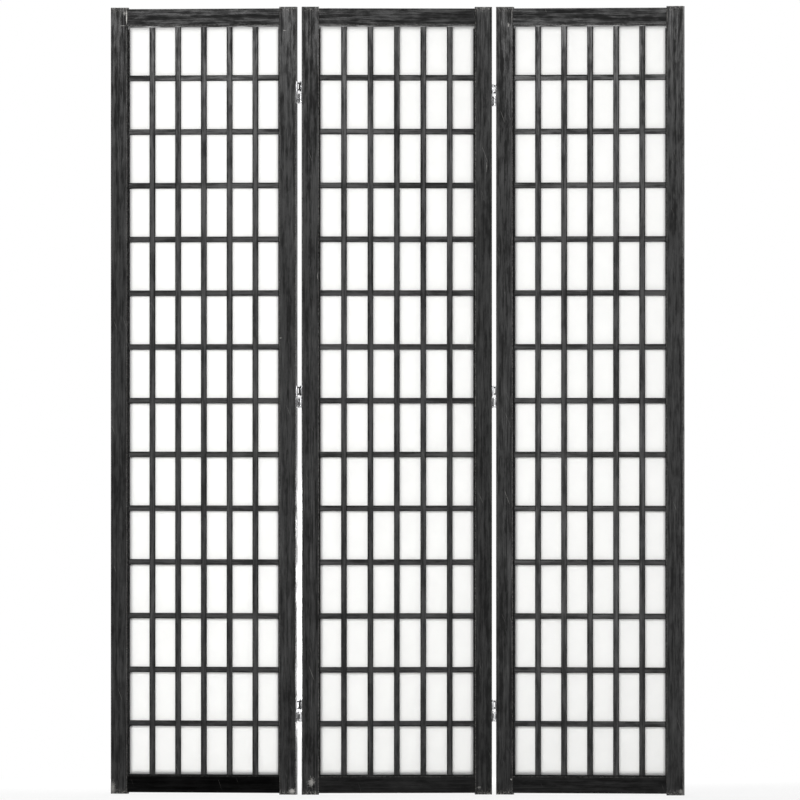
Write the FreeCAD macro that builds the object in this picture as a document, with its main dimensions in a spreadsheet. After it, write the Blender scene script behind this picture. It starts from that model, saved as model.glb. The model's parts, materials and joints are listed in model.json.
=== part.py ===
import FreeCAD, Part
import math
import os
import re
import Sketcher

# Three-panel folding screen: wooden frames, a lattice of strips let into cross bars,
# paper panes and double-action hinges. Millimetres. X runs along the screen, Y from its front to its
# back, Z up. The origin is the middle of the footprint, on the floor.
# Inside a panel, x starts at its left edge and y at its front face. A hinge has two
# leaves and two crossing links: the upper link joins the left leaf's front pin to the
# right leaf's rear pin, and the lower link joins the right leaf's front pin to the
# left leaf's rear pin.

SIZES = {
    # panels, and the angle each one is turned to where the screen stands
    "panel_width": 431, "panel_height": 1784, "frame_thick": 19,
    "left_turn": 10, "middle_turn": 5.5, "right_turn": 9,
    # stiles and rails
    "stile_width": 38.5, "rail_height": 38, "horn": 3.5, "arris": 1,
    "tenon_length": 24, "tenon_thick": 7, "tenon_shoulder": 5, "joint_clear": 0.1,
    # lattice, paper, and the beads behind the paper
    "lattice_recess": 5.5, "bar_width": 12.8, "bar_depth": 6.5, "border_width": 3.5,
    "columns": 6, "rows": 14, "strip_depth": 4, "lap_clear": 0.1,
    "paper_thick": 0.5, "paper_clear": 1, "bead_width": 9, "bead_depth": 5,
    # hinges: where they are, their leaves, links, pins and screws
    "hinge_height": 50, "bottom_hinge_rise": 190, "middle_hinge_rise": 901,
    "left_top_hinge_drop": 194, "right_top_hinge_drop": 200,
    "pin_side": 2.6, "pin_proud": 1.6, "pin_spread": 5.6,
    "leaf_thick": 1, "leaf_inset": 0.6, "eye_relief": 5, "neck_thick": 1.6, "barrel_radius": 1.9,
    "knuckle_height": 11, "link_thick": 1, "link_height": 18.6, "web_width": 4, "web_gap": 2.8,
    "axial_gap": 0.3, "turning_gap": 0.35,
    "pin_radius": 1.1, "pin_fit": 0.05, "pin_head": 2, "cap_shank": 3.2,
    "screw_radius": 1.2, "screw_head": 2.4, "screw_sink": 0.1, "screw_length": 14,
    "screw_rise": 12.5, "screw_stagger": 3, "screw_clear": 0.05,
    # flat sides that stand for round: on barrels, and on pins and screws
    "barrel_sides": 8, "pin_sides": 6,
}

# widths and heights worked out from the sheet
INNER_WIDTH = "(panel_width - 2 * stile_width)"
INNER_HEIGHT = "(panel_height - 2 * horn - 2 * rail_height)"
SILL = "(horn + rail_height)"
BARS_WIDTH = "(%s - 2 * border_width)" % INNER_WIDTH
BARS_HEIGHT = "(%s - 2 * border_width)" % INNER_HEIGHT
PITCH_X = "((%s + bar_width) / columns)" % BARS_WIDTH
PITCH_Z = "((%s + bar_width) / rows)" % BARS_HEIGHT
FIRST_BAR_X = "(stile_width + border_width + %s - bar_width)" % PITCH_X
FIRST_BAR_Z = "(%s + border_width + %s - bar_width)" % (SILL, PITCH_Z)
PAPER_FRONT = "(lattice_recess + bar_depth)"
PIN_DEPTH = "(frame_thick + 2 * pin_proud)"
LINK_LENGTH = "((%s ^ 2 + pin_spread ^ 2) ^ 0.5)" % PIN_DEPTH
LINK_RISE = "(hinge_height / 2 - pin_head - axial_gap - link_height / 2)"
PIN_LENGTH = "(link_height + 2 * axial_gap)"
WINDOW_HEIGHT = "(knuckle_height + 2 * axial_gap)"

doc = FreeCAD.newDocument("folding_screen")
sheet = doc.addObject("Spreadsheet::Sheet", "sizes")
for row, (alias, value) in enumerate(SIZES.items(), start=1):
    sheet.set("A%d" % row, alias)
    sheet.set("B%d" % row, str(value))
    sheet.setAlias("B%d" % row, alias)
doc.recompute()
nodes = []


def bound(text):
    """The expression with each size's name turned into its cell of the sheet."""
    return re.sub(r"\b(?!cos\b|deg\b)[a-z_]+", r"sizes.\g<0>", str(text))


def number(text):
    """The value of such an expression."""
    return float(sheet.evalExpression(bound(text)))


# ------------------------------------------------------------ building blocks

def origin_part(body, role):
    return next(f for f in body.Origin.OriginFeatures if f.Role == role)


def new_body(name):
    body = doc.addObject("PartDesign::Body", name)
    body.AllowCompound = True
    return body


def new_sketch(body, name, role, offset):
    """A sketch on one of the body's own planes, moved by `offset` in that plane's axes."""
    sketch = body.newObject("Sketcher::SketchObject", name)
    sketch.AttachmentSupport = [(origin_part(body, role), "")]
    sketch.MapMode = "FlatFace"
    for axis, text in zip("xyz", offset):
        sketch.setExpression("AttachmentOffset.Base." + axis, bound(text))
    return sketch


def rectangle(sketch, width, depth):
    """A rectangle with one corner on the sketch's origin."""
    corners = [FreeCAD.Vector(*xy, 0) for xy in ((0, 0), (9, 0), (9, 5), (0, 5))]
    for i in range(4):
        sketch.addGeometry(Part.LineSegment(corners[i], corners[(i + 1) % 4]), False)
    for i in range(4):
        sketch.addConstraint(Sketcher.Constraint("Coincident", i, 2, (i + 1) % 4, 1))
    for i, kind in enumerate(("Horizontal", "Vertical", "Horizontal", "Vertical")):
        sketch.addConstraint(Sketcher.Constraint(kind, i))
    sketch.addConstraint(Sketcher.Constraint("Coincident", 0, 1, -1, 1))
    wide = sketch.addConstraint(Sketcher.Constraint("Distance", 0, 9.0))
    deep = sketch.addConstraint(Sketcher.Constraint("Distance", 1, 5.0))
    sketch.setExpression("Constraints[%d]" % wide, bound(width))
    sketch.setExpression("Constraints[%d]" % deep, bound(depth))


def pad_box(body, name, corner, width, depth, height):
    sketch = new_sketch(body, name + "_plan", "XY_Plane", corner)
    rectangle(sketch, width, depth)
    pad = body.newObject("PartDesign::Pad", name)
    pad.Profile = sketch
    pad.setExpression("Length", bound(height))
    return pad


def cut_box(body, name, corner, width, depth, height):
    """A box-shaped pocket, sunk straight down from its own top."""
    x, y, z = corner
    sketch = new_sketch(body, name + "_plan", "XY_Plane", (x, y, "%s + %s" % (z, height)))
    rectangle(sketch, width, depth)
    pocket = body.newObject("PartDesign::Pocket", name)
    pocket.Profile = sketch
    pocket.setExpression("Length", bound(height))
    return pocket


def repeat(body, name, feature, role, span, count):
    """Copies of a feature along one of the body's axes, over the given span."""
    pattern = body.newObject("PartDesign::LinearPattern", name)
    pattern.Originals = [feature]
    pattern.Direction = (origin_part(body, role), [""])
    pattern.setExpression("Length", bound(span))
    pattern.setExpression("Occurrences", bound(count))
    body.Tip = pattern
    return pattern


def ease_upright_edges(body, name, feature):
    """Breaks the long upright edges of a stile."""
    doc.recompute()
    height = number("panel_height")
    edges = ["Edge%d" % i for i, edge in enumerate(feature.Shape.Edges, start=1)
             if abs(edge.Length - height) < 1e-6]
    chamfer = body.newObject("PartDesign::Chamfer", name)
    chamfer.Base = (feature, edges)
    chamfer.setExpression("Size", bound("arris"))
    return chamfer


def solid_box(name, corner, width, depth, height):
    box = doc.addObject("Part::Box", name)
    for axis, text in zip("xyz", corner):
        box.setExpression("Placement.Base." + axis, bound(text))
    for side, text in (("Length", width), ("Width", depth), ("Height", height)):
        box.setExpression(side, bound(text))
    return box


def solid_rod(name, centre, radius, height, sides="pin_sides"):
    """An upright rod with a few flat sides, so that the many small rods stay light."""
    rod = doc.addObject("Part::Prism", name)
    for axis, text in zip("xyz", centre):
        rod.setExpression("Placement.Base." + axis, bound(text))
    rod.setExpression("Polygon", bound(sides))
    rod.setExpression("Circumradius", bound(radius))
    rod.setExpression("Height", bound(height))
    return rod


def barrel(name, centre, height):
    """The outside of a knuckle or an eye, or a pin's head."""
    return solid_rod(name, centre, "barrel_radius", height, "barrel_sides")


def bore_tool(name, centre, height):
    """What cuts a hole that a pin turns in."""
    return solid_rod(name, centre, "((pin_radius + pin_fit) / cos(180 deg / pin_sides))", height)


def taper(name, foot_radius, top_radius, height):
    """An upright stub that widens towards its top."""
    rings = []
    for end, radius, rise in (("foot", foot_radius, "0"), ("top", top_radius, height)):
        ring = doc.addObject("Part::RegularPolygon", "%s_%s" % (name, end))
        ring.setExpression("Polygon", bound("pin_sides"))
        ring.setExpression("Circumradius", bound(radius))
        ring.setExpression("Placement.Base.z", bound(rise))
        rings.append(ring)
    loft = doc.addObject("Part::Loft", name)
    loft.Sections = rings
    loft.Solid = True
    loft.Ruled = True
    return loft


def lay_along_x(piece, corner):
    """Turns an upright piece to point along X from a corner."""
    piece.Placement = FreeCAD.Placement(FreeCAD.Vector(), FreeCAD.Rotation(FreeCAD.Vector(0, 1, 0), 90))
    for axis, text in zip("xyz", corner):
        piece.setExpression("Placement.Base." + axis, bound(text))
    return piece


def fuse(name, pieces):
    fused = doc.addObject("Part::MultiFuse", name)
    fused.Shapes = pieces
    return fused


def cut(name, base, tools):
    result = doc.addObject("Part::Cut", name)
    result.Base = base
    result.Tool = tools[0] if len(tools) == 1 else fuse(name + "_tools", tools)
    return result


def keep(label, piece, place):
    """Makes a piece one of the screen's named sub-parts, standing at its place."""
    piece.Label = label
    piece.Placement = place
    nodes.append(piece)


def group(name, pieces):
    compound = doc.addObject("Part::Compound", name)
    compound.Links = pieces
    return compound


def copies(name, master, places):
    """Separate solids of the same shape, one at each place."""
    links = []
    for i, place in enumerate(places):
        link = doc.addObject("App::Link", "%s_%d" % (name, i))
        link.LinkedObject = master
        link.LinkPlacement = place
        links.append(link)
    return group(name, links)


# ------------------------------------------------------- where everything stands

def turned(angle):
    """Directions along a panel and through it, seen from above; its right end comes forward."""
    turn = math.radians(angle)
    along = FreeCAD.Vector(math.cos(turn), -math.sin(turn), 0)
    through = FreeCAD.Vector(math.sin(turn), math.cos(turn), 0)
    return along, through


def pin_gaps(fold):
    """Distances between the two front pins and between the two rear pins.

    The links keep their length, so the product of the two gaps stays the same.
    A fold of more than zero opens the front.
    """
    difference = 2 * number(PIN_DEPTH) * math.sin(math.radians(fold) / 2)
    spread = number("pin_spread")
    front = difference / 2 + math.hypot(difference / 2, spread)
    return front, front - difference


def neighbour(corner, turn, next_turn, side):
    """The front left corner of the panel beside this one, hung on the same hinge.

    `side` is 1 for the panel on the right and -1 for the one on the left.
    """
    along, through = turned(turn)
    next_along, next_through = turned(next_turn)
    reach = number("panel_width") if side > 0 else 0
    pin = corner + along * (reach + side * number("pin_side")) - through * number("pin_proud")
    front_gap = pin_gaps(side * (turn - next_turn))[0]
    chord = (along + next_along).normalize()
    next_pin = pin + chord * side * front_gap
    next_reach = 0 if side > 0 else number("panel_width")
    inward = next_along * (side * number("pin_side") - next_reach)
    return next_pin + inward + next_through * number("pin_proud")


TURNS = {"left": number("left_turn"), "middle": -number("middle_turn"), "right": number("right_turn")}
corners = {"middle": FreeCAD.Vector(0, 0, 0)}
for side_name, side_sign in (("left", -1), ("right", 1)):
    corners[side_name] = neighbour(corners["middle"], TURNS["middle"], TURNS[side_name], side_sign)


def in_panel(panel, x, y, z=0):
    along, through = turned(TURNS[panel])
    return corners[panel] + along * x + through * y + FreeCAD.Vector(0, 0, z)


def pin_axes(gap):
    """The four pin axes of a gap, as points on the floor: front and rear, left and right."""
    left, right = ("left", "middle") if gap == "left" else ("middle", "right")
    proud, deep = -number("pin_proud"), number("frame_thick") + number("pin_proud")
    beyond = number("panel_width") + number("pin_side")
    return {"front_left": in_panel(left, beyond, proud), "rear_left": in_panel(left, beyond, deep),
            "front_right": in_panel(right, -number("pin_side"), proud),
            "rear_right": in_panel(right, -number("pin_side"), deep)}


def centre_footprint():
    """Moves the three panels so that the middle of what they cover is the origin."""
    width, thick = number("panel_width"), number("frame_thick")
    points = [in_panel(panel, x, y) for panel in TURNS for x in (0, width) for y in (0, thick)]
    xs, ys = [p.x for p in points], [p.y for p in points]
    for gap in ("left", "right"):
        for pin in pin_axes(gap).values():
            xs += [pin.x]
            ys += [pin.y - number("barrel_radius"), pin.y + number("barrel_radius")]
    middle = FreeCAD.Vector((min(xs) + max(xs)) / 2, (min(ys) + max(ys)) / 2, 0)
    for panel in corners:
        corners[panel] = corners[panel] - middle


centre_footprint()


def panel_place(panel):
    return FreeCAD.Placement(corners[panel], FreeCAD.Rotation(FreeCAD.Vector(0, 0, 1), -TURNS[panel]))


def hinge_heights(gap):
    return [number("bottom_hinge_rise"), number("middle_hinge_rise"),
            number("panel_height - %s_top_hinge_drop" % gap)]


def upright_at(point, direction=None, rise=0):
    """A placement at a point, with its own Y axis turned to a direction on the floor."""
    angle = 0
    if direction is not None:
        angle = math.degrees(math.atan2(-direction.x, direction.y))
    base = FreeCAD.Vector(point.x, point.y, rise)
    return FreeCAD.Placement(base, FreeCAD.Rotation(FreeCAD.Vector(0, 0, 1), angle))


# ---------------------------------------------------------------------- panels

def stile(panel, side):
    """An upright with a mortise for each rail."""
    name = "%s_panel_%s_stile" % (panel, side)
    body = new_body(name)
    left = "0" if side == "left" else "(panel_width - stile_width)"
    bar = pad_box(body, name + "_bar", (left, "0", "0"), "stile_width", "frame_thick", "panel_height")
    ease_upright_edges(body, name + "_arris", bar)
    depth = "(tenon_length + joint_clear)"
    start = "(stile_width - %s)" % depth if side == "left" else left
    across = "((frame_thick - tenon_thick) / 2 - joint_clear)"
    high = "(rail_height - 2 * tenon_shoulder + 2 * joint_clear)"
    for end, rail_foot in (("low", "horn"), ("high", "(panel_height - horn - rail_height)")):
        foot = "(%s + tenon_shoulder - joint_clear)" % rail_foot
        cut_box(body, "%s_%s_mortise" % (name, end), (start, across, foot),
                depth, "(tenon_thick + 2 * joint_clear)", high)
    keep(name, body, panel_place(panel))


def rail(panel, end):
    """A rail between the stiles, with a stub tenon at each end."""
    name = "%s_panel_%s_rail" % (panel, end)
    foot = "horn" if end == "bottom" else "(panel_height - horn - rail_height)"
    body = new_body(name)
    pad_box(body, name + "_bar", ("stile_width", "0", foot), INNER_WIDTH, "frame_thick", "rail_height")
    pad_box(body, name + "_tenons",
            ("(stile_width - tenon_length)", "((frame_thick - tenon_thick) / 2)",
             "(%s + tenon_shoulder)" % foot),
            "(%s + 2 * tenon_length)" % INNER_WIDTH, "tenon_thick", "(rail_height - 2 * tenon_shoulder)")
    keep(name, body, panel_place(panel))


def upright_bars(panel):
    """The lattice's upright strips, lying in the cross bars' notches and flush with them."""
    name = "%s_panel_upright_bars" % panel
    body = new_body(name)
    sill = "(%s + border_width)" % SILL
    bar = pad_box(body, name + "_bar", (FIRST_BAR_X, "lattice_recess", sill),
                  "bar_width", "strip_depth", BARS_HEIGHT)
    repeat(body, name + "_row", bar, "X_Axis", "%s * (columns - 2)" % PITCH_X, "columns - 1")
    keep(name, body, panel_place(panel))


def cross_bars(panel):
    """The lattice's cross bars, notched from the front where the upright strips pass."""
    name = "%s_panel_cross_bars" % panel
    body = new_body(name)
    start = "(stile_width + border_width)"
    bar = pad_box(body, name + "_bar", (start, "lattice_recess", FIRST_BAR_Z),
                  BARS_WIDTH, "bar_depth", "bar_width")
    repeat(body, name + "_row", bar, "Z_Axis", "%s * (rows - 2)" % PITCH_Z, "rows - 1")
    notch = cut_box(body, name + "_notch", ("(%s - lap_clear)" % FIRST_BAR_X, "0", SILL),
                    "(bar_width + 2 * lap_clear)", "(lattice_recess + strip_depth)", INNER_HEIGHT)
    repeat(body, name + "_notches", notch, "X_Axis", "%s * (columns - 2)" % PITCH_X, "columns - 1")
    keep(name, body, panel_place(panel))


def strips(panel, what, front, width, depth):
    """Four strips round the opening of a frame: two uprights, and two between them."""
    name = "%s_panel_%s" % (panel, what)
    far = "(panel_width - stile_width - %s)" % width
    top = "(panel_height - horn - rail_height - %s)" % width
    between = "(%s - 2 * %s)" % (INNER_WIDTH, width)
    pieces = [solid_box(name + "_left", ("stile_width", front, SILL), width, depth, INNER_HEIGHT),
              solid_box(name + "_right", (far, front, SILL), width, depth, INNER_HEIGHT),
              solid_box(name + "_bottom", ("stile_width + %s" % width, front, SILL), between, depth, width),
              solid_box(name + "_top", ("stile_width + %s" % width, front, top), between, depth, width)]
    keep(name, group(name + "_group", pieces), panel_place(panel))


def paper(panel):
    """The sheet of paper on the back of the lattice."""
    name = "%s_panel_paper" % panel
    sheet_box = solid_box(name + "_sheet",
                          ("(stile_width + paper_clear)", PAPER_FRONT, "(%s + paper_clear)" % SILL),
                          "(%s - 2 * paper_clear)" % INNER_WIDTH, "paper_thick",
                          "(%s - 2 * paper_clear)" % INNER_HEIGHT)
    keep(name, group(name + "_group", [sheet_box]), panel_place(panel))


# ---------------------------------------------------------------------- hinges
# A leaf is drawn with its front pin's axis at the origin and the wood on its left.
# A link is drawn with the pin beside its long window at the origin.

def knuckle(name, y, neck_y, centre):
    """A barrel round one pin and the neck that joins it to the leaf's plate."""
    foot = "(%s - knuckle_height / 2)" % centre
    tube = barrel(name + "_tube", ("0", y, foot), "knuckle_height")
    neck = solid_box(name + "_neck", ("(0 - pin_side)", neck_y, foot), "neck_thick",
                     "(eye_relief + leaf_thick)", "knuckle_height")
    return [tube, neck]


def screw_spots():
    """Heights above the hinge's middle and shifts from the middle of the leaf."""
    return [("screw_rise", "screw_stagger"), ("(0 - screw_rise)", "(0 - screw_stagger)")]


def make_leaf():
    """One leaf: a plate, a front knuckle on its upper half and a rear one on its lower.

    Each half of the plate stops short of its own knuckle, where the link's eyes turn.
    """
    low, high = "(0 - %s)" % LINK_RISE, LINK_RISE
    inset = "(pin_proud + leaf_inset)"
    halves = [solid_box("leaf_plate_%s" % name, ("(0 - pin_side)", start, foot), "leaf_thick",
                        "(%s - %s - eye_relief)" % (PIN_DEPTH, inset), "hinge_height / 2")
              for name, start, foot in (("low", inset, "(0 - hinge_height / 2)"),
                                        ("high", "eye_relief", "0"))]
    rear_neck = "(%s - eye_relief - leaf_thick)" % PIN_DEPTH
    metal = fuse("leaf_metal", halves + knuckle("leaf_front", "0", "0", high)
                 + knuckle("leaf_rear", PIN_DEPTH, rear_neck, low))
    tools = [bore_tool("leaf_%s_bore" % name, ("0", y, foot), "(hinge_height / 2)")
             for name, y, foot in (("front", "0", "0"), ("rear", PIN_DEPTH, "(0 - hinge_height / 2)"))]
    for i, (height, shift) in enumerate(screw_spots()):
        sink = taper("leaf_sink_%d" % i, "(screw_radius + screw_clear)", "(screw_head + screw_clear)",
                     "leaf_thick")
        middle = "(%s / 2 + %s)" % (PIN_DEPTH, shift)
        tools.append(lay_along_x(sink, ("(0 - pin_side)", middle, height)))
    return cut("leaf", metal, tools)


def make_link():
    """One link: a plate with an eye at each end, open where the leaves' knuckles turn."""
    foot = "(0 - link_height / 2)"
    plate = solid_box("link_plate", ("(0 - link_thick / 2)", "0", foot), "link_thick",
                      LINK_LENGTH, "link_height")
    ends = list(enumerate(("0", LINK_LENGTH)))
    eyes = [barrel("link_eye_%d" % i, ("0", y, foot), "link_height") for i, y in ends]
    bores = [bore_tool("link_bore_%d" % i, ("0", y, foot), "link_height") for i, y in ends]
    reach = "(barrel_radius + turning_gap)"
    web_end = "(%s - barrel_radius - web_gap)" % LINK_LENGTH
    openings = [solid_box("link_opening_%d" % i, ("(0 - %s)" % reach, y, "(0 - %s / 2)" % WINDOW_HEIGHT),
                          "(2 * %s)" % reach, depth, WINDOW_HEIGHT)
                for i, y, depth in ((0, "(0 - %s)" % reach, "(%s + %s - web_width)" % (web_end, reach)),
                                    (1, web_end, "(barrel_radius + web_gap + %s)" % reach))]
    return cut("link", fuse("link_metal", [plate] + eyes), openings + bores)


def make_pin():
    """A pin with a head at each end."""
    head_foot = "(%s / 2)" % PIN_LENGTH
    low_foot = "(0 - %s / 2 - pin_head)" % PIN_LENGTH
    shaft = solid_rod("pin_shaft", ("0", "0", "(0 - %s / 2)" % PIN_LENGTH), "pin_radius", PIN_LENGTH)
    heads = [barrel("pin_top", ("0", "0", head_foot), "pin_head"),
             barrel("pin_foot", ("0", "0", low_foot), "pin_head")]
    return fuse("pin", [shaft] + heads)


def make_stub():
    """The length of a cut pin that stays in its knuckle."""
    rod = solid_rod("stub_rod", ("0", "0", "(0 - knuckle_height / 2)"), "pin_radius", "knuckle_height")
    return group("stub", [rod])


def make_cap():
    """A pin end with its head, as it sits in the link's upper eye."""
    top = "(%s / 2)" % PIN_LENGTH
    shank = "(axial_gap + cap_shank)"
    return fuse("cap", [barrel("cap_head", ("0", "0", top), "pin_head"),
                        solid_rod("cap_stem", ("0", "0", "(%s - %s)" % (top, shank)), "pin_radius", shank)])


def make_screw():
    """A countersunk screw lying in its hole in a leaf, pointing into the wood."""
    slope = "((screw_head - screw_radius) / leaf_thick)"
    head = taper("screw_cone", "screw_radius", "(screw_head - screw_sink * %s)" % slope,
                 "(leaf_thick - screw_sink)")
    shank_length = "(screw_length - leaf_thick + screw_sink)"
    shank = solid_rod("screw_shank", ("0", "0", "0"), "screw_radius", shank_length)
    return fuse("screw", [lay_along_x(head, ("(0 - pin_side)", "0", "0")),
                          lay_along_x(shank, ("(0 - pin_side - %s)" % shank_length, "0", "0"))])


masters = {"leaf": make_leaf(), "link": make_link(), "pin": make_pin(), "stub": make_stub(),
           "cap": make_cap(), "screw": make_screw()}


def hinge_set(gap):
    """The three hinges of a gap, grouped by what moves together.

    The lower pin on the outer panel is cut: its middle stays in the leaf's knuckle and
    its two ends turn with the link.
    """
    name = "%s_hinges" % gap
    pins = pin_axes(gap)
    heights = hinge_heights(gap)
    rise = number(LINK_RISE)
    flip = FreeCAD.Rotation(FreeCAD.Vector(1, 0, 0), 180)

    def along_z(shift):
        return [FreeCAD.Placement(FreeCAD.Vector(0, 0, z + shift), FreeCAD.Rotation()) for z in heights]

    leaves = {"left": ("front_left", "rear_left"), "right": ("rear_right", "front_right")}
    for side, (near, far) in leaves.items():
        place = upright_at(pins[near], pins[far] - pins[near])
        keep("%s_%s_leaves" % (name, side), copies("%s_%s_leaf" % (name, side), masters["leaf"],
                                                   along_z(0)), place)
        spots = [FreeCAD.Placement(FreeCAD.Vector(0, number("%s / 2 + %s" % (PIN_DEPTH, shift)),
                                                  z + number(height)), FreeCAD.Rotation())
                 for z in heights for height, shift in screw_spots()]
        keep("%s_%s_screws" % (name, side), copies("%s_%s_screw" % (name, side), masters["screw"],
                                                   spots), place)
    links = {"upper": ("front_left", "rear_right", rise), "lower": ("front_right", "rear_left", -rise)}
    for level, (near, far, shift) in links.items():
        keep("%s_%s_links" % (name, level),
             copies("%s_%s_link" % (name, level), masters["link"], along_z(shift)),
             upright_at(pins[near], pins[far] - pins[near]))
    whole = [("upper_front", "front_left", rise), ("upper_rear", "rear_right", rise)]
    lower = [("lower_rear", "rear_left", -rise), ("lower_front", "front_right", -rise)]
    if gap == "left":
        lower.reverse()
    for level, pin, shift in whole + lower[:1]:
        keep("%s_%s_pins" % (name, level),
             copies("%s_%s_pin" % (name, level), masters["pin"], along_z(shift)), upright_at(pins[pin]))
    level, pin, shift = lower[1]
    keep("%s_%s_pins" % (name, level),
         copies("%s_stub" % name, masters["stub"], along_z(shift)), upright_at(pins[pin]))
    ends = along_z(shift) + [FreeCAD.Placement(spot.Base, flip) for spot in along_z(shift)]
    keep("%s_%s_pin_ends" % (name, level), copies("%s_cap" % name, masters["cap"], ends),
         upright_at(pins[pin]))


# ------------------------------------------------------------------ the screen

for panel_name in ("left", "middle", "right"):
    stile(panel_name, "left")
    stile(panel_name, "right")
    rail(panel_name, "top")
    rail(panel_name, "bottom")
    upright_bars(panel_name)
    cross_bars(panel_name)
    strips(panel_name, "lattice_border", "lattice_recess", "border_width", "bar_depth")
    paper(panel_name)
    strips(panel_name, "back_beads", "(%s + paper_thick)" % PAPER_FRONT, "bead_width", "bead_depth")
for gap_name in ("left", "right"):
    hinge_set(gap_name)
doc.recompute()

for thing in doc.Objects:
    if any(state in thing.State for state in ("Invalid", "Error")):
        raise RuntimeError("%s did not build: %s" % (thing.Label, thing.State))
for node in nodes:
    if node.Shape.isNull() or not node.Shape.isValid() or not node.Shape.Solids:
        raise RuntimeError("%s has no valid shape" % node.Label)

os.makedirs("parts", exist_ok=True)
for node in nodes:
    node.Shape.exportStep("parts/%s.step" % node.Label)
    print(node.Label, len(node.Shape.Solids), "solids", round(node.Shape.Volume / 1000, 2), "cm3")
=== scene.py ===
import json
import math

import bmesh
import bpy
from mathutils import Matrix, Vector


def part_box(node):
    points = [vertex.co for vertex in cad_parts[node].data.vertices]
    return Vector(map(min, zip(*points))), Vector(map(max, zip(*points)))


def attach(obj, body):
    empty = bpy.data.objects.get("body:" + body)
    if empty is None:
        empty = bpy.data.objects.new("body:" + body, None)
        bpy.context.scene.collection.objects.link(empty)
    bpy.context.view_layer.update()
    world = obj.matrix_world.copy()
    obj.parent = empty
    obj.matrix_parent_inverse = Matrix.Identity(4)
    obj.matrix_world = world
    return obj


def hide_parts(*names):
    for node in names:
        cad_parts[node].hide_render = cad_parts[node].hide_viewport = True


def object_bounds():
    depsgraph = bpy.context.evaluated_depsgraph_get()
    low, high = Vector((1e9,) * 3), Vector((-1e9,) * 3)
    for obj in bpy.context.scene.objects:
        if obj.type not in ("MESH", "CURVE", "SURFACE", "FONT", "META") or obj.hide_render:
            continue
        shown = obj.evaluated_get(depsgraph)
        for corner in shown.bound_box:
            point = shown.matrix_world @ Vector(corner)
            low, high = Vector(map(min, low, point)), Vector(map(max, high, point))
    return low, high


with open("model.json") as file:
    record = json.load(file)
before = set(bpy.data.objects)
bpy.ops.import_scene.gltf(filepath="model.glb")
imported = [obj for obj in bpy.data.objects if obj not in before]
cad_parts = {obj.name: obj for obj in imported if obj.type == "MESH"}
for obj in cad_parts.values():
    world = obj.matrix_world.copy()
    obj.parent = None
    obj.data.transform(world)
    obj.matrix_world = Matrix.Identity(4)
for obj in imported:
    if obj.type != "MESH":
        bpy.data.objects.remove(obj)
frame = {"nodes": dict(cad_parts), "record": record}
cad_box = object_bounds()

MM = 0.001
PANELS = ("left", "middle", "right")
GAPS = ("left", "right")
BODY_OF = {node: body for body, nodes in frame["record"]["behaviour"]["bodies"].items() for node in nodes}

ALONG_X, ALONG_Z = 0, 2
# how many cells a lattice has across and up, and how wide its bars are
COLUMNS, ROWS = 6, 14
BAR_WIDTH = 12.8 * MM

# the photograph's camera: far away, level, a little to the right of straight on
IMAGE_SIZE = 800
METRES_PER_PIXEL = 0.002265
CAMERA_AZIMUTH = math.radians(2.6)
CAMERA_DISTANCE = 35.0
CLIP_START, CLIP_END = 1.0, 200.0
SENSOR = 36.0
# where the middle panel's centre is in the photograph
CENTRE_PIXEL = (396.8, 400.7)


# ---------- shader helpers ----------

class Graph:
    """The node tree of a material or a world, with short calls that make and join its nodes."""

    def __init__(self, owner, output):
        self.owner = owner
        owner.use_nodes = True
        self.tree = owner.node_tree
        self.tree.nodes.clear()
        self.output = self.tree.nodes.new(output)

    def node(self, kind, inputs=None, **settings):
        made = self.tree.nodes.new(kind)
        for key, value in settings.items():
            setattr(made, key, value)
        for key, value in (inputs or {}).items():
            self.feed(made.inputs[key], value)
        return made

    def feed(self, socket, value):
        if isinstance(value, bpy.types.NodeSocket):
            self.tree.links.new(value, socket)
        else:
            socket.default_value = value

    def math(self, operation, first, second=0.0, clamp=False):
        made = self.node("ShaderNodeMath", {0: first, 1: second}, operation=operation)
        made.use_clamp = clamp
        return made.outputs[0]

    def vector(self, operation, first, second):
        return self.node("ShaderNodeVectorMath", {0: first, 1: second}, operation=operation).outputs[0]

    def length(self, vector):
        return self.node("ShaderNodeVectorMath", {0: vector}, operation="LENGTH").outputs["Value"]

    def split(self, vector):
        return list(self.node("ShaderNodeSeparateXYZ", {0: vector}).outputs)

    def mix(self, factor, first, second):
        made = self.node("ShaderNodeMix", data_type="RGBA", clamp_factor=True)
        self.feed(made.inputs[0], factor)
        self.feed(made.inputs[6], first)
        self.feed(made.inputs[7], second)
        return made.outputs[2]

    def ramp(self, value, low, high, to_low=0.0, to_high=1.0):
        made = self.node("ShaderNodeMapRange", {0: value, 1: low, 2: high, 3: to_low, 4: to_high},
                         interpolation_type="SMOOTHSTEP")
        return made.outputs[0]

    def noise(self, where, scale, detail, roughness):
        made = self.node("ShaderNodeTexNoise", {"Vector": where, "Scale": scale, "Detail": detail,
                                                "Roughness": roughness})
        return made.outputs["Fac"]

    def stretched_noise(self, where, scales, detail, roughness):
        return self.noise(self.vector("MULTIPLY", where, scales), 1.0, detail, roughness)

    def slanted(self, where, angle):
        """The point turned about the Y axis, so that noise drawn out up or across runs aslant."""
        return self.node("ShaderNodeMapping", {"Vector": where, "Rotation": (0.0, angle, 0.0)}).outputs[0]

    def object_point(self):
        return self.node("ShaderNodeTexCoord").outputs["Object"]

    def colour(self, value, blue):
        return self.node("ShaderNodeCombineColor", {0: value, 1: value, 2: blue}).outputs[0]

    def bump(self, height, strength, distance):
        return self.node("ShaderNodeBump", {"Height": height, "Strength": strength,
                                            "Distance": distance}).outputs[0]

    def finish(self, shader):
        self.tree.links.new(shader.outputs[0], self.output.inputs["Surface"])
        return self.owner


def material_graph(name):
    return Graph(bpy.data.materials.new(name), "ShaderNodeOutputMaterial")


def grey(level):
    return (level, level, level, 1.0)


def dress(obj, material):
    obj.data.materials.clear()
    obj.data.materials.append(material)


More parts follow.
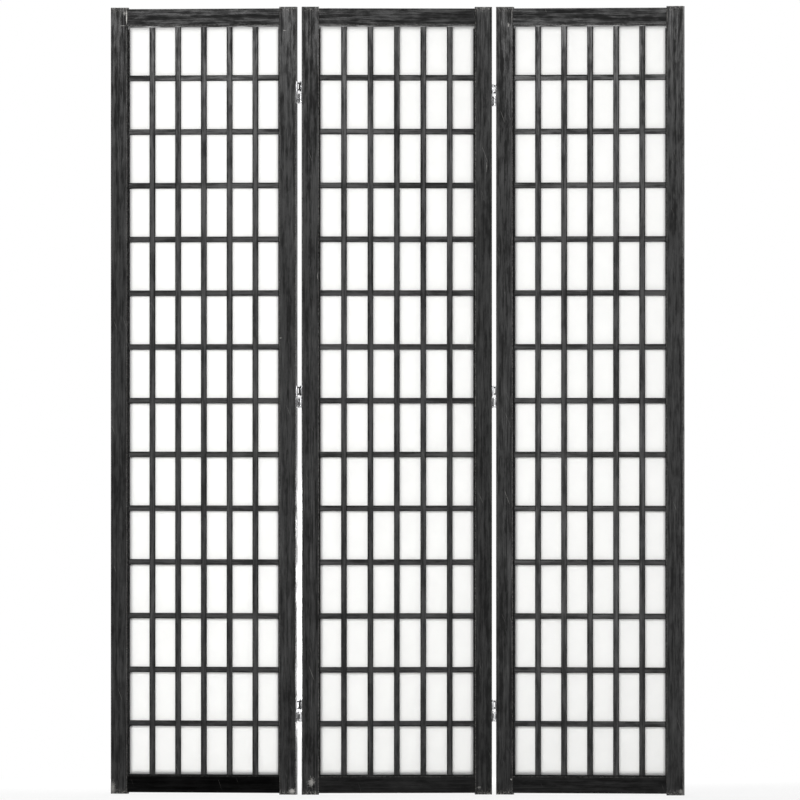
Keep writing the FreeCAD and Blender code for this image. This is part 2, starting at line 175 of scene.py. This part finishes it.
def smooth_piece(name, mesh, material):
    """A new object of the mesh, smooth and dressed."""
    mesh.polygons.foreach_set("use_smooth", [True] * len(mesh.polygons))
    piece = bpy.data.objects.new(name, mesh)
    bpy.context.scene.collection.objects.link(piece)
    dress(piece, material)
    return piece


# ---------- where a panel and its bars stand ----------

def panel_place(panel):
    """A point of a panel's middle plane, and how far the panel is turned, from its two stiles."""
    first, last = ((low + high) / 2 for low, high in
                   (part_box("%s_panel_%s_stile" % (panel, side)) for side in ("left", "right")))
    return first, math.atan2(last.y - first.y, last.x - first.x)


PLACES = {panel: panel_place(panel) for panel in PANELS}


def panel_box(panel, node):
    """A node's lowest and highest corners in its panel's own coordinates."""
    origin, turn = PLACES[panel]
    back = Matrix.Rotation(-turn, 3, "Z")
    points = [back @ (v.co - origin) for v in frame["nodes"][node].data.vertices]
    return tuple(Vector(pick(p[axis] for p in points) for axis in range(3)) for pick in (min, max))


def in_panel(graph, panel):
    """The shaded point in the panel's own coordinates: along the panel, front to back, and up."""
    origin, turn = PLACES[panel]
    turned = graph.node("ShaderNodeVectorRotate", {"Vector": graph.object_point(), "Center": origin,
                                                   "Angle": -turn}, rotation_type="Z_AXIS").outputs[0]
    return graph.vector("SUBTRACT", turned, origin)


def strips(box, axis, cells):
    """The axis, first centre line, pitch and width of the bars that part a lattice into cells."""
    low, high = box
    first_to_last = high[axis] - low[axis] - BAR_WIDTH
    return axis, low[axis] + BAR_WIDTH / 2, first_to_last / (cells - 2), BAR_WIDTH


# ---------- black-stained wood ----------

# how fine each noise is across the grain and along it, per metre
STREAKS, PORES, MOTTLES = (130.0, 5.0), (520.0, 16.0), (95.0, 30.0)
CLOUDS, RAGGED = 9.0, 330.0
# the noise moves by the seed, and by this much more of it from front to back
SEED_DEPTH = 1.7
# between which values of a noise the stain's tone changes, and from what to what
STREAK_TONE, PORE_TONE = (0.32, 0.68, 0.2, 1.7), (0.36, 0.58, 0.25, 1.35)
MOTTLE_TONE, CLOUD_TONE = (0.36, 0.64, -0.4, 0.5), (0.3, 0.7, -0.25, 0.25)
LEAST_TONE = 0.1

# painted shade darkens a bar towards its edges: how far in that begins and ends, and the tone it ends at
BAR_SHADE_FROM, BAR_SHADE_TO, BAR_SHADE_TONE = 2.4 * MM, 0.8 * MM, 0.3
# painted shade makes the border black in its seam with the frame, and painted light makes it pale only just
# under the top rail
SEAM_SHADE_TONE, PAINTED_LIGHT_TONE = (0.7 * MM, 1.3 * MM, 0.06, 1.0), (6 * MM, 9 * MM, 1.5, 0.08)
# how much of what the painted shade darkens is added to the roughness
PAINTED_SHADE_MATT = 0.5

# wear begins and is full this far from an edge, and from an end, which ragged noise makes uneven
EDGE_WEAR, END_WEAR, END_UNEVEN = (2.6 * MM, 0.8 * MM), (34 * MM, 14 * MM), 30 * MM
EDGE_PATCHES, END_PATCHES = (0.42, 0.62), (0.5, 0.64)
# hairline scratches
SCRATCH_SLANT, SCRATCHES = 0.35, (420.0, 30.0, 14.0)
SCRATCH_SHOWS, SCRATCH_DEPTH = (0.765, 0.8), 0.12
# how ragged a chip's outline is, where it ends and is full; the strongest chips are the cleanest
TORN, CLEAN, CLEAN_FROM = 5.0, 1.6, 0.9
CHIP_END, CHIP_FULL = 0.95, 0.55
# thinned stain and bare wood, and where one turns into the other
THIN_STAIN, BARE_WOOD, BARE_PATCHES = grey(0.2), (0.72, 0.7, 0.66, 1.0), (0.35, 0.6)

# how the lacquer's roughness varies with the grain, and how much rougher a worn place is
SATIN_PATCHES, SATIN_ROUGHER, SATIN_SMOOTHER, WORN_ROUGHER = (0.43, 0.57), 0.27, 0.13, 0.35
GRAIN_BUMP, GRAIN_DEPTH = 0.6, 0.2 * MM


def grain(graph, where, along, scales, detail, roughness):
    """Noise drawn out along the grain."""
    stretch = [scales[0]] * 3
    stretch[along] = scales[1]
    return graph.stretched_noise(where, stretch, detail, roughness)


def side_gaps(graph, axes, low, high):
    """How far the point is from the nearer side of a box, along each axis."""
    def gap(axis, side):
        return graph.math("ABSOLUTE", graph.math("SUBTRACT", axes[axis], side[axis]))
    return [graph.math("MINIMUM", gap(axis, low), gap(axis, high)) for axis in range(3)]


def edge_distance(graph, gaps):
    """How far a point on a box's face is from the nearest edge: the middle one of its three gaps."""
    a, b, c = gaps
    upper = graph.math("MINIMUM", graph.math("MAXIMUM", a, b), c)
    return graph.math("MAXIMUM", graph.math("MINIMUM", a, b), upper)


def bar_edge_shade(graph, axes, bars):
    """Full on the middle of each bar of a row, and darker along its edges with painted shade."""
    axis, first, pitch, width = bars
    row = graph.math("SUBTRACT", axes[axis], first - pitch / 2)
    off = graph.math("SUBTRACT", graph.math("FLOORED_MODULO", row, pitch), pitch / 2)
    return graph.ramp(graph.math("ABSOLUTE", off), width / 2 - BAR_SHADE_FROM, width / 2 - BAR_SHADE_TO,
                      1.0, BAR_SHADE_TONE)


def border_light_and_shade(graph, axes, high, gaps):
    """Painted shade, black in the seam and down the sides, and painted light, pale under the top rail."""
    seam = graph.ramp(graph.math("MINIMUM", gaps[0], gaps[2]), *SEAM_SHADE_TONE)
    lit = graph.ramp(graph.math("SUBTRACT", high[2], axes[2]), *PAINTED_LIGHT_TONE)
    return graph.math("MULTIPLY", seam, lit)


def wear(graph, shifted, gaps, ragged, look):
    """How far the finish is worn, where edges and ends are rubbed and in a few hairline scratches."""
    on_edge = graph.math("MULTIPLY", graph.ramp(edge_distance(graph, gaps), *EDGE_WEAR),
                         graph.ramp(ragged, *EDGE_PATCHES))
    near_end = graph.ramp(graph.math("ADD", gaps[2], graph.math("MULTIPLY", ragged, END_UNEVEN)), *END_WEAR)
    end_spots = graph.math("MULTIPLY", near_end, graph.ramp(ragged, *END_PATCHES))
    rubbed = graph.math("ADD", graph.math("MULTIPLY", on_edge, look["edge_wear"]),
                        graph.math("MULTIPLY", end_spots, look["end_wear"]), clamp=True)
    hair = graph.stretched_noise(graph.slanted(shifted, SCRATCH_SLANT), SCRATCHES, 1.0, 0.5)
    scratched = graph.math("MULTIPLY", graph.ramp(hair, *SCRATCH_SHOWS), SCRATCH_DEPTH)
    return graph.math("MAXIMUM", rubbed, scratched)


def chipped(graph, where, ragged, mark):
    """How far the finish is gone in one chip, which is a (centre, half size, strength)."""
    centre, half, strength = mark
    offset = graph.vector("SUBTRACT", where, centre)
    far = graph.length(graph.vector("MULTIPLY", offset, [1.0 / size for size in half]))
    torn = CLEAN if strength > CLEAN_FROM else TORN
    inside = graph.ramp(graph.math("ADD", far, graph.math("MULTIPLY", ragged, torn)),
                        torn / 2 + CHIP_END, torn / 2 + CHIP_FULL)
    return graph.math("MULTIPLY", inside, strength)


def wood(name, panel, along, box, look, marks, bars):
    """Black-stained wood: pores and streaks along the grain, satin lacquer, rubbed edges, pale chips.

    marks are (centre, half size, strength) spots in the panel's coordinates where the finish
    is chipped to pale wood. bars is (axis, first, pitch, width) for a row of strips, whose
    edges get painted shade, or None. A look with a seam gets painted shade in the border's
    seam and sides and painted light under the top rail.
    """
    graph = material_graph(name)
    where = in_panel(graph, panel)
    low, high = box
    axes = graph.split(where)
    gaps = side_gaps(graph, axes, low, high)
    seed = look["seed"]
    shifted = graph.vector("ADD", where, (seed, seed * SEED_DEPTH, seed))
    streak = grain(graph, shifted, along, STREAKS, 4.0, 0.6)
    pore = grain(graph, shifted, along, PORES, 3.0, 0.65)
    mottle = grain(graph, shifted, along, MOTTLES, 4.0, 0.7)
    cloud = graph.noise(shifted, CLOUDS, 3.0, 0.55)
    ragged = graph.noise(shifted, RAGGED, 5.0, 0.75)

    tone = graph.math("ADD", graph.ramp(streak, *STREAK_TONE), graph.ramp(cloud, *CLOUD_TONE))
    tone = graph.math("ADD", tone, graph.ramp(mottle, *MOTTLE_TONE))
    tone = graph.math("MULTIPLY", graph.math("MAXIMUM", tone, LEAST_TONE), graph.ramp(pore, *PORE_TONE))
    matt = 0.0
    # painted shade along the bar edges, and painted light and shade on the border strip
    if bars or look.get("seam"):
        painted_shade = bar_edge_shade(graph, axes, bars) if bars else border_light_and_shade(graph, axes, high, gaps)
        tone = graph.math("MULTIPLY", tone, painted_shade)
        matt = graph.math("MULTIPLY", graph.math("SUBTRACT", 1.0, painted_shade, clamp=True), PAINTED_SHADE_MATT)
    stain_and_painted_shade = graph.math("MULTIPLY", tone, look["base"])

    # where the finish is gone, the stain thins to grey and here and there to bare wood
    worn = wear(graph, shifted, gaps, ragged, look)
    for mark in marks:
        worn = graph.math("MAXIMUM", worn, chipped(graph, where, ragged, mark))
    pale = graph.mix(graph.ramp(ragged, *BARE_PATCHES), THIN_STAIN, BARE_WOOD)

    satin = graph.math("MULTIPLY", graph.math("ADD", graph.math("ADD", pore, streak), mottle), 1.0 / 3.0)
    lacquer = graph.ramp(satin, *SATIN_PATCHES, look["rough"] + SATIN_ROUGHER, look["rough"] - SATIN_SMOOTHER)
    dull = graph.math("ADD", graph.math("MULTIPLY", worn, WORN_ROUGHER), matt)
    return graph.finish(graph.node("ShaderNodeBsdfPrincipled", {
        "Base Color": graph.mix(worn, graph.colour(stain_and_painted_shade, stain_and_painted_shade), pale),
        "Roughness": graph.math("ADD", lacquer, dull),
        "Normal": graph.bump(graph.math("SUBTRACT", pore, worn), GRAIN_BUMP, GRAIN_DEPTH),
        "Specular IOR Level": look["gloss"]}))


# ---------- the wooden parts ----------

FRAME = {"base": 0.016, "gloss": 0.15, "rough": 0.36, "edge_wear": 0.16, "end_wear": 0.5}
RAIL = {"base": 0.012, "gloss": 0.14, "rough": 0.38, "edge_wear": 0.16, "end_wear": 0.0}
# painted shade: the bottom rails are darker than the top ones, and the left panel's is nearly black
PAINTED_SHADE_LOW_RAIL = {"base": 0.006, "gloss": 0.09, "rough": 0.42, "edge_wear": 0.1, "end_wear": 0.0}
PAINTED_SHADE_DARK_RAIL = {"base": 0.002, "gloss": 0.02, "rough": 0.45, "edge_wear": 0.05, "end_wear": 0.0}
LATTICE = {"base": 0.02, "gloss": 0.26, "rough": 0.38, "edge_wear": 0.0, "end_wear": 0.0}
# the border carries painted shade in its seam and down its sides, and painted light under the top rail
BORDER = {"base": 0.1, "gloss": 0.36, "rough": 0.4, "edge_wear": 0.0, "end_wear": 0.0, "seam": True}

# the wooden parts of a panel, which way their grain runs, and their looks
PARTS = (("left_stile", ALONG_Z, FRAME), ("right_stile", ALONG_Z, FRAME),
         ("top_rail", ALONG_X, RAIL), ("bottom_rail", ALONG_X, PAINTED_SHADE_LOW_RAIL),
         ("upright_bars", ALONG_Z, LATTICE), ("cross_bars", ALONG_X, LATTICE),
         ("lattice_border", ALONG_X, BORDER), ("back_beads", ALONG_X, RAIL))
OTHER_LOOKS = {"left_panel_bottom_rail": PAINTED_SHADE_DARK_RAIL}
# which way the bars of a part follow one another, and how many cells they part
BARS = {"upright_bars": (ALONG_X, COLUMNS), "cross_bars": (ALONG_Z, ROWS)}
# these keep the grain of one panel or part from repeating in the next
PANEL_SEED, PART_SEED = 1.37, 0.41

# chips and scores of a stile's front: the side and the end that they are measured from, how far
# they are in from both, their half size across and up, in millimetres, and their strength
CHIPS = {
    "left_panel_left_stile": (("high", "high", (1.4, 21.0), (1.6, 20.0), 1.0),
                              ("high", "high", (10.5, 41.0), (7.0, 0.9), 0.6),
                              ("high", "high", (6.0, 13.0), (3.5, 5.0), 0.4),
                              ("low", "low", (5.0, 14.0), (6.0, 16.0), 0.35)),
    "left_panel_right_stile": (("low", "high", (11.5, 53.5), (4.0, 0.9), 0.6),
                               ("low", "high", (3.0, 750.0), (3.6, 1.2), 0.4),
                               ("high", "low", (8.5, 8.0), (8.0, 7.0), 0.75)),
    "middle_panel_left_stile": (("low", "low", (21.0, 28.0), (8.0, 12.0), 0.5),
                                ("high", "high", (3.0, 610.0), (1.0, 9.0), 0.3)),
    "middle_panel_right_stile": (("low", "low", (9.0, 16.0), (6.0, 3.0), 0.3),
                                 ("high", "high", (12.0, 360.0), (1.0, 14.0), 0.25)),
    "right_panel_left_stile": (("high", "high", (9.5, 41.0), (2.6, 5.0), 0.55),
                               ("high", "high", (2.0, 20.0), (0.9, 17.0), 0.4),
                               ("high", "low", (3.5, 34.0), (2.2, 2.4), 0.6)),
    "right_panel_right_stile": (("low", "high", (2.0, 22.0), (0.9, 15.0), 0.35),
                                ("high", "low", (5.0, 9.0), (5.0, 6.0), 0.35)),
}
CHIP_DEPTH = 3.0 * MM


def chips(node, box):
    """The chips of a stile in its panel's coordinates, on its front face."""
    low, high = box
    found = []
    for side, end, (inward_x, inward_z), (half_x, half_z), strength in CHIPS.get(node, ()):
        x = low.x + inward_x * MM if side == "low" else high.x - inward_x * MM
        z = low.z + inward_z * MM if end == "low" else high.z - inward_z * MM
        found.append(((x, low.y, z), (half_x * MM, CHIP_DEPTH, half_z * MM), strength))
    return found


for index, panel in enumerate(PANELS):
    for part, along, look in PARTS:
        node = "%s_panel_%s" % (panel, part)
        box = panel_box(panel, node)
        seeded = dict(OTHER_LOOKS.get(node, look), seed=PANEL_SEED * index + PART_SEED * len(part))
        bars = strips(box, *BARS[part]) if part in BARS else None
        dress(frame["nodes"][node],
              wood(node + "_wood", panel, along, box, seeded, chips(node, box), bars))


# ---------- the paper ----------

PULP, PULP_TONE = 22.0, (0.3, 0.7, 0.925, 0.94)
FIBRES, FIBRE_SHOWS, FIBRE_TONE = (900.0, 60.0, 60.0), (0.66, 0.78), -0.02
FIBRE_SLANTS = (0.6, -0.9)
PAPER_BLUE, PAPER_ROUGHNESS, PAPER_GLOSS = 0.99, 0.85, 0.2
PAPER_BUMP, PAPER_GRAIN = 0.25, 0.2 * MM
# how much of the light goes through the paper
PAPER_THROUGH = 0.25
# how far the paper hangs back in the middle of a cell, and in how many steps a cell is drawn
SLACK = 0.25 * MM
STEPS_ACROSS, STEPS_UP = 6, 8


def washi(name):
    """Translucent white paper with long fibres and faint clouds of thicker pulp."""
    graph = material_graph(name)
    where = graph.object_point()
    cloud = graph.noise(where, PULP, 4.0, 0.6)
    first, second = (graph.stretched_noise(graph.slanted(where, slant), FIBRES, 2.0, 0.5)
                     for slant in FIBRE_SLANTS)
    fibres = graph.math("MAXIMUM", graph.ramp(first, *FIBRE_SHOWS), graph.ramp(second, *FIBRE_SHOWS))
    tone = graph.math("ADD", graph.ramp(cloud, *PULP_TONE), graph.math("MULTIPLY", fibres, FIBRE_TONE))
    colour = graph.colour(tone, graph.math("MULTIPLY", tone, PAPER_BLUE))
    bump = graph.bump(graph.math("ADD", cloud, fibres), PAPER_BUMP, PAPER_GRAIN)
    face = graph.node("ShaderNodeBsdfPrincipled", {"Base Color": colour, "Roughness": PAPER_ROUGHNESS,
                                                   "Normal": bump, "Specular IOR Level": PAPER_GLOSS})
    through = graph.node("ShaderNodeBsdfTranslucent", {"Color": colour, "Normal": bump})
    return graph.finish(graph.node("ShaderNodeMixShader", {0: PAPER_THROUGH, 1: face.outputs[0],
                                                           2: through.outputs[0]}))


def grid_rim(grid):
    """The outermost points of a grid, once round."""
    return (grid[0] + [line[-1] for line in grid[1:]] + grid[-1][-2::-1]
            + [line[0] for line in grid[-2:0:-1]])


def make_paper(panel):
    """Paper stretched over a panel's lattice: flat on the bars, a little slack inside each cell."""
    node = panel + "_panel_paper"
    low, high = panel_box(panel, node)
    bar_x, pitch_x = strips(panel_box(panel, panel + "_panel_upright_bars"), ALONG_X, COLUMNS)[1:3]
    bar_z, pitch_z = strips(panel_box(panel, panel + "_panel_cross_bars"), ALONG_Z, ROWS)[1:3]
    across, up = COLUMNS * STEPS_ACROSS, ROWS * STEPS_UP
    shape = bmesh.new()
    sides = []
    for face_y in (low.y, high.y):
        grid = []
        for row in range(up + 1):
            z = low.z + (high.z - low.z) * row / up
            line = []
            for column in range(across + 1):
                x = low.x + (high.x - low.x) * column / across
                wave = abs(math.sin(math.pi * (x - bar_x) / pitch_x))
                roll = abs(math.sin(math.pi * (z - bar_z) / pitch_z))
                rim = 0.0 if row in (0, up) or column in (0, across) else 1.0
                line.append(shape.verts.new((x, face_y + SLACK * wave * roll * rim, z)))
            grid.append(line)
        sides.append(grid)
    front, back = sides
    for row in range(up):
        for column in range(across):
            shape.faces.new((front[row][column], front[row][column + 1],
                             front[row + 1][column + 1], front[row + 1][column]))
            shape.faces.new((back[row][column], back[row + 1][column],
                             back[row + 1][column + 1], back[row][column + 1]))
    rim_front, rim_back = grid_rim(front), grid_rim(back)
    for k in range(len(rim_front)):
        n = (k + 1) % len(rim_front)
        shape.faces.new((rim_front[k], rim_back[k], rim_back[n], rim_front[n]))
    mesh = bpy.data.meshes.new(panel + "_washi")
    shape.to_mesh(mesh)
    shape.free()
    origin, turn = PLACES[panel]
    mesh.transform(Matrix.Translation(origin) @ Matrix.Rotation(turn, 4, "Z"))
    paper = smooth_piece(panel + "_washi", mesh, WASHI)
    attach(paper, panel + "_panel")
    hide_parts(node)


WASHI = washi("washi_paper")
for panel in PANELS:
    make_paper(panel)


# ---------- the hinges ----------

# for each steel: how bright it is, how fine its drawn lines are, and what its noise is moved by
PIN_LOOK, SCREW_LOOK = (0.7, 1200.0, 1.4), (0.52, 1500.0, 2.2)
# the link steel is nearly black as painted shade
LEAF_LOOK, SHADED_LINK_LOOK = (0.28, 700.0, 0.3), (0.012, 900.0, 0.9)
# painted light on the barrels: how bright the steel is made around a pin, how far from its axis,
# and over what width that fades; the reach is a little more than a barrel's radius
PAINTED_BARREL_LIGHT, BARREL_REACH, RUB_FADE = 0.66, 2.2 * MM, 0.5 * MM
PATCHES, LINE_LENGTH = 160.0, 0.08
LINE_TONE, PATCH_TONE = (0.3, 0.7, -0.04, 0.04), (0.35, 0.7, 0.03, -0.1)
PATCH_ROUGHNESS = (0.3, 0.75, 0.24, 0.42)
LEAST_STEEL, STEEL_BLUE = 0.01, 1.02
LINE_BUMP, LINE_DEPTH = 0.2, 0.05 * MM

# how wide an edge is rounded and in how many steps, on a screw, a pin and a plate
SCREW_EDGE, PIN_EDGE, PLATE_EDGE = (0.12 * MM, 1), (0.34 * MM, 3), (0.22 * MM, 2)
# edges sharper than this are rounded, once points that coincide and faces that are level are joined
SHARP, LEVEL, SAME_POINT = math.radians(25.0), math.radians(1.0), 0.01 * MM


def steel(name, look, axles=()):
    """Plated steel with faint drawn lines and dulled patches, and painted light on the barrels around its
    axles.
    """
    level, fine, seed = look
    graph = material_graph(name)
    where = graph.object_point()
    shifted = graph.vector("ADD", where, (seed, seed, seed))
    lines = graph.stretched_noise(shifted, (fine, fine, fine * LINE_LENGTH), 3.0, 0.6)
    patch = graph.noise(shifted, PATCHES, 3.0, 0.6)
    tone = graph.math("ADD", graph.ramp(lines, *LINE_TONE), graph.ramp(patch, *PATCH_TONE))
    point_x, point_y, _ = graph.split(where)
    barrel_light = 0.0
    for x, y in axles:
        across = graph.math("POWER", graph.math("SUBTRACT", point_x, x), 2.0)
        deep = graph.math("POWER", graph.math("SUBTRACT", point_y, y), 2.0)
        far = graph.math("SQRT", graph.math("ADD", across, deep))
        barrel_light = graph.math("MAXIMUM", barrel_light, graph.ramp(far, BARREL_REACH, BARREL_REACH - RUB_FADE))
    value = graph.math("ADD", tone, graph.math("ADD", level, graph.math("MULTIPLY", barrel_light, PAINTED_BARREL_LIGHT - level)))
    value = graph.math("MAXIMUM", value, LEAST_STEEL)
    return graph.finish(graph.node("ShaderNodeBsdfPrincipled", {
        "Base Color": graph.colour(value, graph.math("MULTIPLY", value, STEEL_BLUE)),
        "Roughness": graph.ramp(patch, *PATCH_ROUGHNESS),
        "Normal": graph.bump(lines, LINE_BUMP, LINE_DEPTH), "Metallic": 1.0}))


def rounded(node, material, edge):
    """A hinge piece with its flat-sided barrels and plate edges rounded off, in place of its node."""
    width, segments = edge
    mesh = frame["nodes"][node].data.copy()
    mesh.name = node + "_round"
    shape = bmesh.new()
    shape.from_mesh(mesh)
    bmesh.ops.remove_doubles(shape, verts=shape.verts, dist=SAME_POINT)
    bmesh.ops.dissolve_limit(shape, angle_limit=LEVEL, verts=shape.verts, edges=shape.edges)
    sharp = [e for e in shape.edges if len(e.link_faces) == 2 and e.calc_face_angle(0.0) > SHARP]
    bmesh.ops.bevel(shape, geom=sharp, offset=width, offset_type="OFFSET", segments=segments, profile=0.5,
                    affect="EDGES", clamp_overlap=True)
    shape.to_mesh(mesh)
    shape.free()
    piece = smooth_piece(node + "_round", mesh, material)
    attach(piece, BODY_OF[node])
    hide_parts(node)


def front_axles(gap):
    """Where the front pins of a gap's upper and lower links stand, seen from above."""
    boxes = [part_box(node) for node in BODY_OF
             if node.startswith(gap + "_hinges_") and node.endswith("_front_pins")]
    return [((low.x + high.x) / 2, (low.y + high.y) / 2) for low, high in boxes]


PIN = steel("hinge_pin_steel", PIN_LOOK)
SCREW = steel("hinge_screw_steel", SCREW_LOOK)
for gap in GAPS:
    axles = front_axles(gap)
    leaf = steel(gap + "_hinge_leaf_steel", LEAF_LOOK, axles)
    link = steel(gap + "_hinge_link_steel", SHADED_LINK_LOOK, axles)
    for node in BODY_OF:
        if not node.startswith(gap + "_hinges_"):
            continue
        if node.endswith("screws"):
            rounded(node, SCREW, SCREW_EDGE)
        elif "pin" in node:
            rounded(node, PIN, PIN_EDGE)
        else:
            rounded(node, link if "links" in node else leaf, PLATE_EDGE)


# ---------- floor, backdrop, light and camera ----------

FLOOR_HALF, FLOOR_LEVEL = 60.0, 0.8
# how white the floor is to the camera near the screen, and between which distances it turns all white
NEAR_WHITE, WHITE_FROM, WHITE_AT = 0.8, 0.9, 1.7
WORLD_LEVEL = 0.48


def white_to_camera(graph):
    """1 for camera, glossy and transmission rays, 0 for the rays that light the object."""
    path = graph.node("ShaderNodeLightPath")
    seen = graph.math("MAXIMUM", path.outputs["Is Camera Ray"], path.outputs["Is Glossy Ray"])
    return graph.math("MAXIMUM", seen, path.outputs["Is Transmission Ray"])


def make_floor():
    """A pale floor that turns into the white background a short way from the screen."""
    mesh = bpy.data.meshes.new("floor")
    shape = bmesh.new()
    bmesh.ops.create_grid(shape, x_segments=1, y_segments=1, size=FLOOR_HALF)
    shape.to_mesh(mesh)
    shape.free()
    floor = bpy.data.objects.new("floor", mesh)
    bpy.context.scene.collection.objects.link(floor)
    floor.location.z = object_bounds()[0].z
    graph = material_graph("floor_white")
    far = graph.length(graph.object_point())
    lit = graph.node("ShaderNodeBsdfDiffuse", {"Color": grey(FLOOR_LEVEL)})
    white = graph.node("ShaderNodeEmission", {"Color": grey(1.0), "Strength": 1.0})
    share = graph.math("MAXIMUM", graph.ramp(far, WHITE_FROM, WHITE_AT), NEAR_WHITE)
    hidden = graph.math("MULTIPLY", share, white_to_camera(graph))
    dress(floor, graph.finish(graph.node("ShaderNodeMixShader", {0: hidden, 1: lit.outputs[0],
                                                                 2: white.outputs[0]})))


def make_world():
    """A white backdrop to the camera, and an even, weaker light on the object."""
    world = bpy.data.worlds.new("studio")
    bpy.context.scene.world = world
    graph = Graph(world, "ShaderNodeOutputWorld")
    strength = graph.node("ShaderNodeMapRange", {0: white_to_camera(graph), 3: WORLD_LEVEL, 4: 1.0})
    graph.finish(graph.node("ShaderNodeBackground", {"Color": grey(1.0), "Strength": strength.outputs[0]}))


def make_lamp(name, place, target, size, power):
    lamp = bpy.data.lights.new(name, "AREA")
    lamp.shape = "RECTANGLE"
    lamp.size, lamp.size_y = size
    lamp.energy = power
    obj = bpy.data.objects.new(name, lamp)
    obj.location = place
    obj.rotation_euler = (Vector(target) - Vector(place)).to_track_quat("-Z", "Y").to_euler()
    bpy.context.scene.collection.objects.link(obj)


def make_camera():
    """The camera looks level at the middle panel's centre, moved so that it falls on its pixel."""
    middle_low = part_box("middle_panel_left_stile")[0]
    middle_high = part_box("middle_panel_right_stile")[1]
    centre = (middle_low + middle_high) / 2
    away = Vector((math.sin(CAMERA_AZIMUTH), -math.cos(CAMERA_AZIMUTH), 0.0))
    across = Vector((math.cos(CAMERA_AZIMUTH), math.sin(CAMERA_AZIMUTH), 0.0))
    aim = centre + across * (IMAGE_SIZE / 2 - CENTRE_PIXEL[0]) * METRES_PER_PIXEL
    aim.z += (CENTRE_PIXEL[1] - IMAGE_SIZE / 2) * METRES_PER_PIXEL
    data = bpy.data.cameras.new("photo_camera")
    data.sensor_width = SENSOR
    data.lens = SENSOR * CAMERA_DISTANCE / (IMAGE_SIZE * METRES_PER_PIXEL)
    data.clip_start, data.clip_end = CLIP_START, CLIP_END
    camera = bpy.data.objects.new("photo_camera", data)
    camera.location = aim + away * CAMERA_DISTANCE
    camera.rotation_euler = (-away).to_track_quat("-Z", "Y").to_euler()
    bpy.context.scene.collection.objects.link(camera)
    bpy.context.scene.camera = camera


make_floor()
make_world()
top = cad_box[1].z
# a wide strip just above the screen gives the wood its bright upper half
make_lamp("key", place=(-0.8, -3.0, top + 0.25), target=(0.0, 0.0, top * 0.8), size=(3.0, 0.3), power=68.0)
make_lamp("low_fill", place=(-0.6, -3.2, 0.6), target=(0.2, 0.0, 0.4), size=(1.6, 0.6), power=7.0)
# from behind, through the paper
make_lamp("back_light", place=(-0.4, 1.8, 0.4), target=(-0.1, 0.0, 0.5), size=(2.4, 0.6), power=54.0)
make_camera()
bpy.context.scene.view_settings.view_transform = "Standard"
